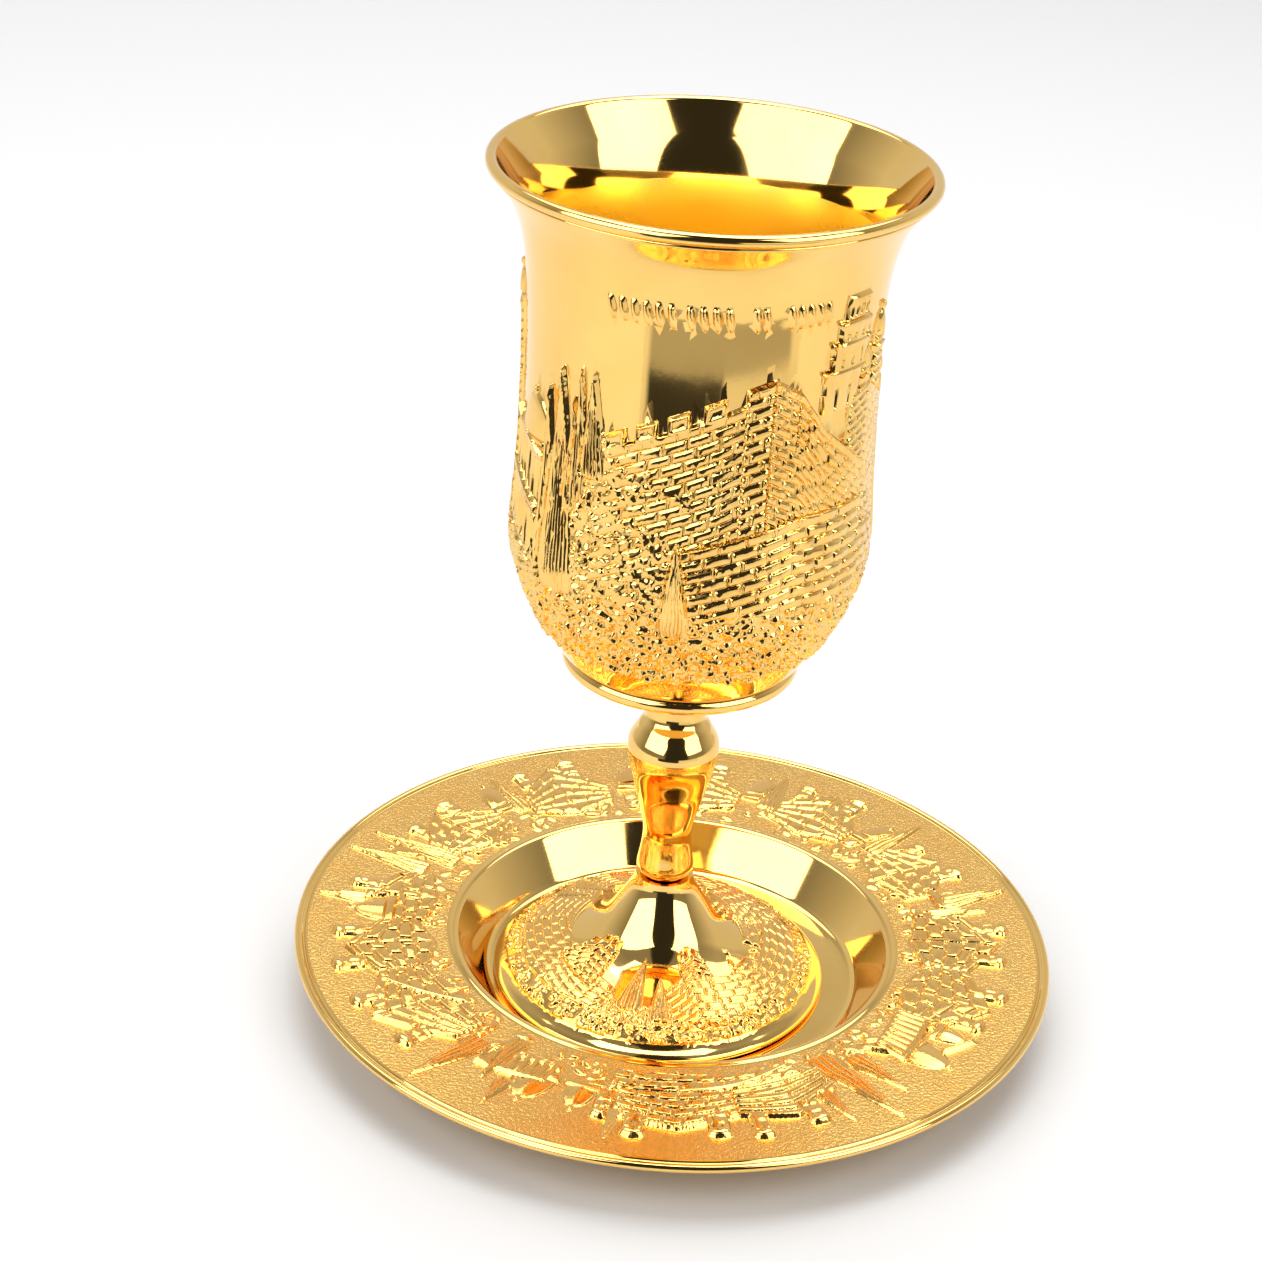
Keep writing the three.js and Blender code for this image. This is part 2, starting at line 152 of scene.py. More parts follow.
class Sheet:
    """Relief heights in mm. Columns go round the piece, and rows go up the scene."""

    def __init__(self, low, high, radius_at, pitch=0.1):
        self.ups = np.arange(low, high + pitch, pitch)
        self.radii = radius_at(self.ups)
        self.count = int(2 * math.pi * self.radii.mean() / pitch)
        self.step = 360 / self.count
        self.height = np.zeros((len(self.ups), self.count))
        self.pitch = pitch

    def window(self, start, end, low, high):
        """The part between two angles and two heights: its index, angles and heights."""
        rows = np.flatnonzero((self.ups >= low) & (self.ups <= high))
        cols = np.arange(math.floor(start / self.step), math.ceil(end / self.step) + 1)
        return (np.ix_(rows, cols % self.count), cols[None, :] * self.step,
                self.ups[rows][:, None], self.radii[rows][:, None])

    def patch(self, at, half, low, high):
        """The part round an angle, half as many mm to each side, with mm across from it."""
        reach = math.degrees(half / max(np.interp((low + high) / 2, self.ups, self.radii), 1)) * 1.5
        index, angle, up, radius = self.window(at - reach, at + reach, low, high)
        return index, np.radians(angle - at) * radius, up

    def raise_to(self, index, height, mask=True):
        self.height[index] = np.where(mask, np.maximum(self.height[index], height), self.height[index])

    def cover(self, index, height, mask):
        self.height[index] = np.where(mask, height, self.height[index])

    def soften(self, times=1):
        for _ in range(times):
            around = (np.roll(self.height, 1, 1) + np.roll(self.height, -1, 1) + 2 * self.height) / 4
            padded = np.pad(around, ((1, 1), (0, 0)), mode="edge")
            self.height = (padded[:-2] + padded[2:] + 2 * around) / 4

    def read(self, angle, up):
        col = (angle / self.step) % self.count
        row = np.clip((up - self.ups[0]) / self.pitch, 0, len(self.ups) - 1.001)
        c, r = np.floor(col).astype(int), np.floor(row).astype(int)
        fc, fr = col - c, row - r
        h = self.height
        c0, c1 = c % self.count, (c + 1) % self.count
        return ((h[r, c0] * (1 - fc) + h[r, c1] * fc) * (1 - fr)
                + (h[r + 1, c0] * (1 - fc) + h[r + 1, c1] * fc) * fr)


def eased(distance, soft):
    """0 outside an edge and 1 inside it, over a soft width in mm."""
    t = np.clip(distance / soft, 0, 1)
    return t * t * (3 - 2 * t)


CHANCES = np.random.RandomState(5).rand(4, 97, 89)
SMOOTH_WALL = (9, 60)       # stones so large that hardly a joint shows


def stones(across, level, course, length, joint, uneven):
    """Bonded masonry, 1 on a stone's face and 0 in a joint, each stone a little worn and tilted."""
    row = np.floor(level / course).astype(int)
    place = across / length + 0.5 * (row % 2) + 0.3 * CHANCES[0, row % 97, 7]
    col = np.floor(place).astype(int)
    x, y = place - col, level / course - row
    chance = CHANCES[:, row % 97, col % 89]
    edge = np.minimum(np.minimum(x, 1 - x) * length, np.minimum(y, 1 - y) * course)
    tilt = (chance[1] - 0.5) * (x - 0.5) + (chance[2] - 0.5) * (y - 0.5)
    worn = 1 - uneven * np.clip(1 - edge / 0.6, 0, 1) ** 2
    return eased(edge - joint / 2, 0.14) * (worn - uneven * chance[0] + 2 * uneven * tilt)


def wall(sheet, top, foot, lift, course, length, merlons=(), merlon=(7, 2.6),
         joint=0.34, grain=0.5, uneven=0.14, fan=False):
    """A wall between a top line and a foot line of (angle, height) points, with merlons at the
    given angles. Its courses follow the top line, or fan out from the foot to the top. The grain
    is how much of the wall's lift the joints are deep."""
    tops, feet = np.array(top, float), np.array(foot, float)
    start, end = tops[0, 0], tops[-1, 0]
    highest = tops[:, 1].max() + merlon[1] + 1
    index, angle, up, radius = sheet.window(start, end, feet[:, 1].min(), highest)
    ceiling, ground = np.interp(angle, *tops.T), np.interp(angle, *feet.T)
    across = np.radians(angle - start) * radius
    level = up - ceiling
    if fan:
        level = (up - ground) / np.maximum(ceiling - ground, 1) * (ceiling - ground).mean()
    face = stones(across, level, course, length, joint, uneven)
    side = np.minimum(angle - start, end - angle) * math.pi / 180 * radius
    inside = np.minimum(np.minimum(ceiling - up, up - ground + 0.4), side)
    coping = eased(0.7 - (ceiling - up), 0.3) * eased(ceiling - up, 0.2)
    height = lift * (1 - grain + grain * np.maximum(face, coping)) * eased(inside + 0.12, 0.24)
    sheet.cover(index, height, inside > -0.12)
    for at in merlons:
        half = merlon[0] / 2
        reach = np.minimum(half - np.abs(angle - at), half) * math.pi / 180 * radius
        tall = np.minimum(up - ceiling + 0.3, ceiling + merlon[1] - up)
        edge = np.minimum(reach, tall)
        block = lift * (1.15 - 0.5 * eased(edge - 0.55, 0.25)) * eased(edge, 0.2)
        sheet.raise_to(index, block, edge > 0)


def strip(sheet, line, thick, lift, soft=0.2):
    """A raised moulding along (angle, height) points."""
    points = np.array(line, float)
    low, high = points[:, 1].min() - thick, points[:, 1].max() + thick
    index, angle, up, radius = sheet.window(points[0, 0], points[-1, 0], low, high)
    middle = np.interp(angle, *points.T)
    slope = np.gradient(middle[0]) / (math.radians(sheet.step) * sheet.radii.mean())
    away = np.abs(up - middle) / np.sqrt(1 + slope[None, :] ** 2)
    ends = np.minimum(angle - points[0, 0], points[-1, 0] - angle) * math.pi / 180 * radius
    inside = np.minimum(thick / 2 - away, ends)
    sheet.raise_to(index, lift * eased(inside, soft), inside > 0)


def slot(sheet, at, half, low, high, depth, arched=True):
    """A window or doorway sunk into what is there."""
    index, across, up = sheet.patch(at, half + 1, low - 0.5, high + 0.5)
    head = high - half if arched else high
    inside = half - np.abs(across)
    if arched:
        inside = np.where(up > head, half - np.hypot(across, up - head), inside)
    inside = np.minimum(np.minimum(inside, up - low), high - up)
    sheet.height[index] -= depth * eased(inside, 0.25) * np.minimum(sheet.height[index], 1)


def arcade(sheet, start, end, low, high, count, lift):
    """A row of arches on slim piers under a plain band."""
    wall(sheet, [(start, high[0]), (end, high[1])], [(start, low[0]), (end, low[1])], lift, *SMOOTH_WALL)
    for i in range(count):
        share = (i + 0.5) / count
        at, bottom, top = (a + (b - a) * share for a, b in ((start, end), low, high))
        pitch = math.radians(end - start) / count * np.interp(bottom, sheet.ups, sheet.radii)
        slot(sheet, at, 0.32 * pitch, bottom + 0.3, top - 0.9, 0.75)


def dome(sheet, at, half, low, high, lift, ribs=0, drum=0.3):
    """A domed roof on a low drum, with a knob on top."""
    index, across, up = sheet.patch(at, half + 1, low - 0.5, high + 2)
    base = low + drum * (high - low)
    x, y = across / half, np.maximum(up - base, 0) / (high - base)
    bulge = 1 - x * x - y * y
    roof = lift * np.sqrt(np.clip(bulge, 0, 1))
    if ribs:
        half_there = np.sqrt(np.clip(1 - y * y, 0.04, 1))
        roof *= 0.86 + 0.14 * np.cos(ribs * np.arcsin(np.clip(x / half_there, -1, 1)))
    sheet.cover(index, roof, (bulge > 0) & (up >= base))
    band = np.minimum(1.06 * half - np.abs(across), np.minimum(up - low, base + 0.35 - up))
    sheet.cover(index, 0.75 * lift * eased(band, 0.3), band > 0)
    knob = 1 - (across / 0.45) ** 2 - ((up - high - 0.5) / 0.8) ** 2
    sheet.raise_to(index, 0.7 * lift * np.sqrt(np.clip(knob, 0, 1)), knob > 0)


def cypress(sheet, at, half, low, high, lift, strands, lean, seed):
    """A slender tree of fine strands that fan out from its tip to its foot."""
    index, across, up = sheet.patch(at, half + 1.5 + abs(lean), low - 0.5, high)
    t = np.clip((up - low) / (high - low), 0, 1)
    across = across - lean * t
    spread = half * (1 - t) ** 0.8 * (0.8 + 0.2 * np.minimum(t / 0.1, 1)) + 1e-3
    x = across / spread
    ridge = np.abs(np.cos(0.5 * math.pi * strands * x + 0.4 * np.sin(0.8 * up + seed)))
    body = np.clip(1 - np.abs(x) ** 2.5, 0, 1) ** 0.5
    sheet.cover(index, lift * body * (0.5 + 0.5 * ridge ** 0.7), (np.abs(x) < 1) & (up > low))


def turret(sheet, at, half, low, high, lift):
    """A round tower of stones that ends in a smooth cap."""
    index, across, up = sheet.patch(at, half + 0.5, low, high + 1)
    round_off = np.sqrt(1 - np.clip(across / half, -1, 1) ** 2)
    face = stones(across + 50, up, 2.1, 2.8, 0.3, 0.05)
    inside = np.minimum(half - np.abs(across), np.minimum(high - up, up - low + 0.3))
    shaft = lift * (0.45 + 0.55 * round_off) * (0.74 + 0.26 * face)
    sheet.cover(index, shaft * eased(inside, 0.2), inside > 0)
    blob(sheet, at, high + 0.3, half + 0.25, 1.15, 0, 0.2, 1.4 * lift)


def leaves(sheet, top, foot, size, lift, crowd, seed, base=0.25, long=1.7):
    """Leafy ground between two lines of (angle, height) points, made of small raised leaves."""
    tops, feet = np.array(top, float), np.array(foot, float)
    rng = np.random.RandomState(seed)
    start, end = tops[0, 0], tops[-1, 0]
    index, angle, up, radius = sheet.window(start, end, feet[:, 1].min(), tops[:, 1].max())
    ceiling, ground = np.interp(angle, *tops.T), np.interp(angle, *feet.T)
    inside = np.minimum(ceiling - up, up - ground)
    sheet.raise_to(index, base * lift * eased(inside, 0.5), inside > 0)
    wide = math.radians(end - start) * sheet.radii.mean()
    tall = tops[:, 1].max() - feet[:, 1].min()
    for _ in range(int(crowd * wide * tall / (size * size * 1.1))):
        at, height = rng.uniform(start, end), rng.uniform(feet[:, 1].min(), tops[:, 1].max())
        turn, bulk, rise = rng.uniform(0, math.pi), rng.uniform(0.6, 1.15), rng.uniform(0.45, 1.0)
        if not np.interp(at, *feet.T) <= height <= np.interp(at, *tops.T):
            continue
        half = bulk * size / 2
        blob(sheet, at, height, half * long, half, turn, base * lift * 0.6, rise * lift)


def blob(sheet, at, height, long, thin, turn, base, lift):
    """One raised leaf, pebble or knob."""
    index, across, up = sheet.patch(at, long, height - long, height + long)
    up = up - height
    x = (across * math.cos(turn) + up * math.sin(turn)) / long
    y = (up * math.cos(turn) - across * math.sin(turn)) / thin
    body = 1 - x * x - y * y
    sheet.raise_to(index, base + (lift - base) * np.sqrt(np.clip(body, 0, 1)), body > 0)


def tower(sheet, at, half, low, high, lift, course=1.6, merlons=2, cap=0, doors=()):
    """A square tower of stones with a battlement, or under a small domed cap."""
    reach = math.degrees(half / np.interp((low + high) / 2, sheet.ups, sheet.radii))
    sides = [(at - reach, high), (at + reach, high)]
    pitch = 2 * reach / max(merlons, 1)
    crests = [at - reach + (i + 0.5) * pitch for i in range(merlons)] if not cap else ()
    foot = [(a, low) for a, _ in sides]
    wall(sheet, sides, foot, lift, course, 1.9 * course, crests, (0.66 * pitch, 1.3), 0.3)
    strip(sheet, [(at - 1.12 * reach, high - 0.2), (at + 1.12 * reach, high - 0.2)], 0.7, 1.15 * lift)
    if cap:
        dome(sheet, at, 0.86 * half, high + 0.1, high + cap, 1.15 * lift, drum=0.15)
    for share in doors:
        slot(sheet, at, 0.28 * half, low + share * (high - low), low + share * (high - low) + 1.8, 0.6)


def storeys(sheet, at, widths, levels, lift):
    """A tall tower in storeys that get narrower, each under a ledge, with slim openings."""
    for half, low, high in zip(widths, levels, levels[1:]):
        left, right, middle = at - half, at + half, low + 0.5 * (high - low)
        wall(sheet, [(left, high), (right, high)], [(left, low), (right, low)], lift, *SMOOTH_WALL)
        strip(sheet, [(left - 1, high), (right + 1, high)], 0.9, 1.3 * lift)
        strip(sheet, [(left - 0.5, middle), (right + 0.5, middle)], 0.4, 1.1 * lift)
        for i in range(3):
            slot(sheet, at + half * (i - 1) * 0.55, 0.34, low + 0.6, high - 1.4, 0.6)


# Bowl

LIP, THROAT, BELLY, BASE, BOWL_TALL = 37.2, 29.35, 30.3, 20.9, 91.4
FLARE = LIP - THROAT
BRUSHED_FROM, BRUSHED_UP_TO = 4.9, 78
BOWL_WALL = 1.5
bowl_curve = Curve([
    (BASE, 2.4),
    (24.85, 0.1 * BOWL_TALL),
    (28.51, 0.19 * BOWL_TALL),
    (BELLY, 0.28 * BOWL_TALL),
    (29.68, 0.42 * BOWL_TALL),
    (THROAT, 0.58 * BOWL_TALL),
    (THROAT + 0.04 * FLARE, 0.735 * BOWL_TALL),
    (THROAT + 0.15 * FLARE, 0.84 * BOWL_TALL),
    (THROAT + 0.39 * FLARE, 0.912 * BOWL_TALL),
    (THROAT + 0.77 * FLARE, 0.968 * BOWL_TALL),
])


def bowl_scene():
    sheet = Sheet(8.0, 83.0, lambda up: np.full_like(up, 29.8))
    # far things first, near things over them
    strip(sheet, [(-92, 63), (-84, 63)], 9, 0.5)
    tower(sheet, -88, 1.6, 30, 66, 0.9, cap=6)
    storeys(sheet, 53, (11, 8.5, 6.5), (57.5, 64.5, 69.2, 72.7), 0.8)
    arcade(sheet, 48, 58, (73.2, 73.2), (77.4, 77.4), 4, 0.7)
    dome(sheet, 54.5, 2.0, 77.3, 80.3, 0.7, drum=0.1)
    tower(sheet, 62, 1.5, 34, 62, 1.0, cap=6)
    tower(sheet, 72, 1.8, 34, 66, 1.0, cap=6)
    wall(sheet, [(56, 59), (67, 60), (80, 56), (104, 50)], [(56, 36), (104, 30)], 0.75, 1.5, 2.6)
    dome(sheet, -63, 5.4, 46, 54.5, 1.1, drum=0.1)
    arcade(sheet, -78, -52, (40, 34), (48.5, 43), 8, 0.75)
    arcade(sheet, -80, -54, (31, 25), (39.5, 33), 8, 0.75)
    strip(sheet, [(-78, 49.2), (-52, 43.4)], 1.3, 1.1)
    strip(sheet, [(-80, 40), (-54, 34)], 1.3, 1.1)
    # the city wall with its corner
    wall(sheet, [(-31, 50), (-20, 53.0), (16, 61.0)], [(-31, 25), (16, 25)], 0.85, 1.9, 3.9,
         (-25, -15, -5, 6), (6.8, 2.6))
    wall(sheet, [(15.4, 63.4), (24, 64.9)], [(15.4, 27), (24, 28)], 1.0, 1.85, 3.6)
    wall(sheet, [(24, 64.9), (34, 62.0), (45, 54.5), (66, 46)], [(24, 28), (66, 27)], 0.9, 1.75, 2.7)
    wall(sheet, [(33, 60.5), (37, 58.4)], [(33, 52), (37, 52)], 1.0, 1.6, 2.4)
    wall(sheet, [(-2, 35.5), (34, 40.5), (66, 40)], [(-2, 24), (66, 24)], 1.1, 2.0, 4.4)
    wall(sheet, [(65, 34), (102, 31)], [(65, 24), (102, 24)], 0.75, 1.9, 3.8)
    for level in (34.5, 36.6, 38.7):
        strip(sheet, [(66, level), (78, level - 0.4)], 0.35, 1.2)
    # round the back
    wall(sheet, [(100, 56), (124, 56)], [(100, 26), (124, 26)], 0.85, 1.9, 3.8,
         (103, 109, 115, 121), (4.2, 2.4))
    wall(sheet, [(122, 54), (160, 48)], [(122, 24), (160, 24)], 0.75, 1.9, 3.8,
         (128, 136, 144, 152), (5.2, 2.4))
    dome(sheet, 141, 5.2, 50, 58.5, 1.1, ribs=6)
    wall(sheet, [(178, 47), (228, 54)], [(178, 24), (228, 24)], 0.8, 1.9, 3.8,
         (184, 192, 200, 216, 223), (5.2, 2.4))
    tower(sheet, 203, 4.0, 32, 65, 1.0, 1.9, 3, doors=(0.7,))
    wall(sheet, [(244, 53), (278, 46)], [(244, 24), (278, 24)], 0.8, 1.9, 3.8)
    arcade(sheet, 246, 262, (40, 39), (48, 47), 5, 0.9)
    # trees and leaves
    leaves(sheet, [(-46, 46), (-38, 52), (-30, 53), (-20, 47), (-14, 42), (-6, 36), (3, 27)],
           [(-46, 24), (-20, 24), (3, 22)], 1.0, 1.1, 1.5, 3)
    leaves(sheet, [(-38, 51), (-33, 54), (-28, 52)], [(-38, 45), (-28, 45)], 1.0, 1.15, 1.5, 31)
    for at, height, half in ((-14, 47.5, 4.5), (-7, 47, 3.5), (-1, 45.5, 3.5), (-24, 45, 5)):
        leaves(sheet, [(at - half, height - 1.5), (at, height + 1.5), (at + half, height - 1)],
               [(at - half, height - 3.5), (at + half, height - 3)], 0.9, 1.15, 1.6, 40 + int(at))
    leaves(sheet, [(-82, 29), (-60, 26), (-46, 29)], [(-82, 22), (-46, 22)], 1.0, 1.1, 1.5, 4)
    ground = [(-180, 25), (-150, 27), (-120, 24), (-82, 27), (-50, 25), (-20, 27), (4, 24.5),
              (30, 24), (66, 25), (100, 28), (130, 25), (160, 28), (180, 25)]
    leaves(sheet, ground, [(-180, 8.8), (180, 8.8)], 1.0, 1.1, 1.4, 5)
    for at, half, low, high, lean, strands in (
            (-52, 3.0, 26, 58, -0.6, 7), (-46, 4.6, 23, 62.5, -0.4, 11), (-41, 1.9, 38, 58, 0, 5),
            (-38.6, 1.8, 40, 63.6, 0.2, 5), (-33, 2.7, 45, 63.4, -0.2, 7), (-2.6, 2.8, 20, 37.4, -0.3, 8),
            (-96, 2.6, 24, 58, 0, 7), (92, 2.3, 26, 60, 0, 7), (169, 2.8, 24, 61, 0, 8),
            (236, 2.8, 24, 60, 0.4, 8), (174, 2.2, 24, 52, 0, 5)):
        cypress(sheet, at, half, low, high, 1.1, strands, lean, at)
    # a row of shallow strokes, all alike and none a letter
    for first, last, count in ((-28, -9, 6), (-3.5, 8, 4), (16, 19, 2), (27, 40, 5)):
        for i in range(count):
            at = first + (last - first) * i / (count - 1)
            blob(sheet, at, 75.6, 2.3, 0.6, math.radians(98), 0, 0.75)
    sheet.soften(1)
    return sheet


def carved_band(curve, shares, sheet, up_at, sides, front, triangles):
    """The carved part of a turned piece, thinned to a number of triangles where it is plain."""
    bm = bmesh.new()
    bmesh.ops.create_grid(bm, x_segments=sides, y_segments=len(shares) - 1, size=1.0)
    mesh = as_mesh(bm)
    co = numbers(mesh.vertices, "co", 3)
    share = np.interp((co[:, 1] + 1) / 2, np.linspace(0, 1, len(shares)), shares)
    turn = crowded(co[:, 0], front)
    spots, outward = curve.at(share)
    height = sheet.read(180 * turn, up_at(spots))
    edge = np.minimum(share - shares[0], shares[-1] - share) * curve.length
    height *= eased(edge, 0.4)
    spots = spots + outward * height[:, None]
    angle = turn * math.pi
    co = np.stack([spots[:, 0] * np.sin(angle), -spots[:, 0] * np.cos(angle), spots[:, 1]], 1)
    mesh.vertices.foreach_set("co", co.ravel())
    for name, values in (("along", share), ("raised", height)):
        mesh.attributes.new(name, "FLOAT", "POINT").data.foreach_set("value", values.astype(np.float32))
    bm = bmesh.new()
    bm.from_mesh(mesh)
    bm.verts.ensure_lookup_table()
    seam = [bm.verts[int(i)] for i in np.flatnonzero(np.abs(turn) > 0.99999)]
    bmesh.ops.remove_doubles(bm, verts=seam, dist=1e-3)
    joined = as_mesh(bm)
    share = numbers(joined.attributes["along"].data, "value")
    edge = np.minimum(share - shares[0], shares[-1] - share) * curve.length
    piece = bpy.data.objects.new("band", joined)
    bpy.context.scene.collection.objects.link(piece)
    group = piece.vertex_groups.new(name="carved")
    group.add(np.flatnonzero(edge > 0.05).tolist(), 1.0, "REPLACE")
    thin = piece.modifiers.new("thin", "DECIMATE")
    thin.ratio = triangles / (2 * len(joined.polygons))
    thin.vertex_group = "carved"
    made = bpy.data.meshes.new_from_object(piece.evaluated_get(bpy.context.evaluated_depsgraph_get()))
    bpy.data.objects.remove(piece)
    return made


def nearest_end(spot, ends):
    radius = math.hypot(spot.x, spot.y)
    return min(range(len(ends)), key=lambda i: math.hypot(radius - ends[i][0], spot.z - ends[i][1]))


def finish_piece(name, node, bm, curve, place, materials, third="inside", crest=math.inf):
    """Shades the piece, brings it to metres and to its place, and lets it stand for its node."""
    mesh = bpy.data.meshes.new(name)
    bm.to_mesh(mesh)
    bm.free()
    for face_set in materials:
        mesh.materials.append(face_set)
    mesh.polygons.foreach_set("use_smooth", np.ones(len(mesh.polygons), bool))
    mesh.set_sharp_from_angle(angle=math.radians(SHARP_FROM))
    if curve is not None:
        even_normals(mesh, curve)
        sort_faces(mesh, third, crest)
    mesh.transform(Matrix.Translation(Vector(place) * MM) @ Matrix.Scale(MM, 4))
    piece = bpy.data.objects.new(name, mesh)
    bpy.context.scene.collection.objects.link(piece)
    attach(piece, "root")
    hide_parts(node)


def corners(mesh):
    """The vertex of every corner, the face of every corner, and each face's first corner."""
    totals = numbers(mesh.polygons, "loop_total")
    verts = numbers(mesh.loops, "vertex_index")
    return verts, np.repeat(np.arange(len(totals)), totals), np.cumsum(totals) - totals


def even_normals(mesh, curve):
    """The plain ground between the carving shades as the true turned surface."""
    co = numbers(mesh.vertices, "co", 3)
    share, raised = (numbers(mesh.attributes[name].data, "value") for name in ("along", "raised"))
    normals = numbers(mesh.corner_normals, "vector", 3)
    verts, faces, starts = corners(mesh)
    uneven = (share < 0) | (np.abs(raised) > CARVED_FROM)
    chosen = ~np.logical_or.reduceat(uneven[verts], starts)[faces]
    outward = curve.at(np.clip(share, 0, 1))[1]
    radius = np.maximum(np.hypot(co[:, 0], co[:, 1]), 1e-6)
    sideways = outward[:, 0] / radius
    true = np.stack([sideways * co[:, 0], sideways * co[:, 1], outward[:, 1]], 1)
    normals[chosen] = true[verts[chosen]]
    mesh.normals_split_custom_set(normals.tolist())


def sort_faces(mesh, third, crest):
    """Plain faces take the first material and carved ones the second, apart from what rises above
    the crest. The third is for the inside, or for the ground between the carving."""
    share, raised = (numbers(mesh.attributes[name].data, "value") for name in ("along", "raised"))
    verts, _, starts = corners(mesh)
    raised = np.where(share >= 0, raised, PLAIN)[verts]
    kind = (np.maximum.reduceat(raised, starts) > CARVED_FROM).astype(np.int32)
    if third == "ground":
        kind[(kind == 0) & (np.minimum.reduceat(raised, starts) > PLAIN / 2)] = 2
    kind[np.minimum.reduceat(raised, starts) > crest] = 0
    if third == "inside" and len(mesh.materials) > 2:
        normal, middle = (numbers(mesh.polygons, name, 3) for name in ("normal", "center"))
        inwards = (normal[:, :2] * middle[:, :2]).sum(1) < 0
        deep = (middle[:, 2] > BRUSHED_FROM) & (middle[:, 2] < BRUSHED_UP_TO)
        kind[inwards & (kind == 0) & deep] = 2
    mesh.polygons.foreach_set("material_index", kind)


# Finishes

GOLD = (0.95, 0.625, 0.195, 1)
DEEP_GOLD = (0.86, 0.49, 0.115, 1)
WARM_GOLD = (0.94, 0.575, 0.165, 1)
BURNT_GOLD = (0.86, 0.45, 0.095, 1)
YOLK_GOLD = (1.0, 0.82, 0.18, 1)
AMBER_GOLD = (0.97, 0.72, 0.11, 1)


def node_in(tree, kind, inputs=(), **settings):
    node = tree.nodes.new(kind)
    for key, value in settings.items():
        setattr(node, key, value)
    for key, value in dict(inputs).items():
        if isinstance(value, bpy.types.NodeSocket):
            tree.links.new(value, node.inputs[key])
        else:
            node.inputs[key].default_value = value
    return node


def plating_group():
    """Slow changes of tone over the plating, and the fine grain of its surface."""
    group = bpy.data.node_groups.new("plating", "ShaderNodeTree")
    group.interface.new_socket("Patch Size", in_out="INPUT", socket_type="NodeSocketFloat")
    group.interface.new_socket("Grain Size", in_out="INPUT", socket_type="NodeSocketFloat")
    group.interface.new_socket("Patches", in_out="OUTPUT", socket_type="NodeSocketFloat")
    group.interface.new_socket("Grain", in_out="OUTPUT", socket_type="NodeSocketFloat")
    given = group.nodes.new("NodeGroupInput")
    out = group.nodes.new("NodeGroupOutput")
    place = group.nodes.new("ShaderNodeTexCoord").outputs["Object"]
    patches = node_in(group, "ShaderNodeTexNoise", {
        "Vector": place, "Scale": given.outputs["Patch Size"], "Detail": 3.0, "Roughness": 0.55})
    grain = node_in(group, "ShaderNodeTexNoise", {
        "Vector": place, "Scale": given.outputs["Grain Size"], "Detail": 2.0, "Roughness": 0.6})
    group.links.new(patches.outputs["Fac"], out.inputs["Patches"])
    group.links.new(grain.outputs["Fac"], out.inputs["Grain"])
    return group


PLATING = plating_group()


def gilt(name, tones, patch_size, grain_size, smooth, rough, bump, deep, lines=False):
    """Gold plate of two tones: roughness from smooth to rough over its patches, a grain of the
    given bump in mm, a share of the deep tone, and lines round the piece if it is brushed."""
    material = bpy.data.materials.new(name)
    material.use_nodes = True
    tree = material.node_tree
    shader = tree.nodes["Principled BSDF"]
    shader.inputs["Metallic"].default_value = 1.0
    plating = node_in(tree, "ShaderNodeGroup", node_tree=PLATING)
    plating.inputs["Patch Size"].default_value = patch_size
    plating.inputs["Grain Size"].default_value = grain_size
    patches = plating.outputs["Patches"]
    tone = node_in(tree, "ShaderNodeMapRange", {
        "Value": patches, "From Min": 0.35, "From Max": 0.65, "To Min": 0.0, "To Max": deep})
    colour = node_in(tree, "ShaderNodeMix", {"Factor": tone.outputs["Result"]}, data_type="RGBA")
    for socket, value in zip([s for s in colour.inputs if s.type == "RGBA"], tones):
        socket.default_value = value
    tree.links.new([s for s in colour.outputs if s.type == "RGBA"][0], shader.inputs["Base Color"])
    matt = node_in(tree, "ShaderNodeMapRange", {
        "Value": patches, "From Min": 0.3, "From Max": 0.7, "To Min": smooth, "To Max": rough})
    tree.links.new(matt.outputs["Result"], shader.inputs["Roughness"])
    height = plating.outputs["Grain"]
    if lines:
        place = node_in(tree, "ShaderNodeTexCoord").outputs["Object"]
        squeezed = node_in(tree, "ShaderNodeMapping", {"Vector": place, "Scale": (30, 30, 2600)})
        brushed = node_in(tree, "ShaderNodeTexNoise", {
            "Vector": squeezed.outputs["Vector"], "Scale": 1.0, "Detail": 2.0})
        both = node_in(tree, "ShaderNodeMath", {0: height, 1: brushed.outputs["Fac"]}, operation="ADD")
        height = both.outputs[0]
    grain = node_in(tree, "ShaderNodeBump", {"Height": height, "Strength": 1.0, "Distance": bump * MM})
    tree.links.new(grain.outputs["Normal"], shader.inputs["Normal"])
    return material


polished = gilt("gilt_polished", (GOLD, DEEP_GOLD), 60, 900, 0.045, 0.085, 0.0012, 0.35)
sparkling = gilt("gilt_carved", (GOLD, DEEP_GOLD), 140, 2600, 0.07, 0.13, 0.008, 0.6)
brushed_inside = gilt("gilt_inside", (YOLK_GOLD, AMBER_GOLD), 50, 1200, 0.24, 0.34, 0.0016, 0.5, True)
satin = gilt("gilt_satin", (WARM_GOLD, BURNT_GOLD), 110, 2100, 0.12, 0.2, 0.03, 0.6)
stippled = gilt("gilt_stippled", (WARM_GOLD, BURNT_GOLD), 90, 1700, 0.18, 0.25, 0.13, 0.5)


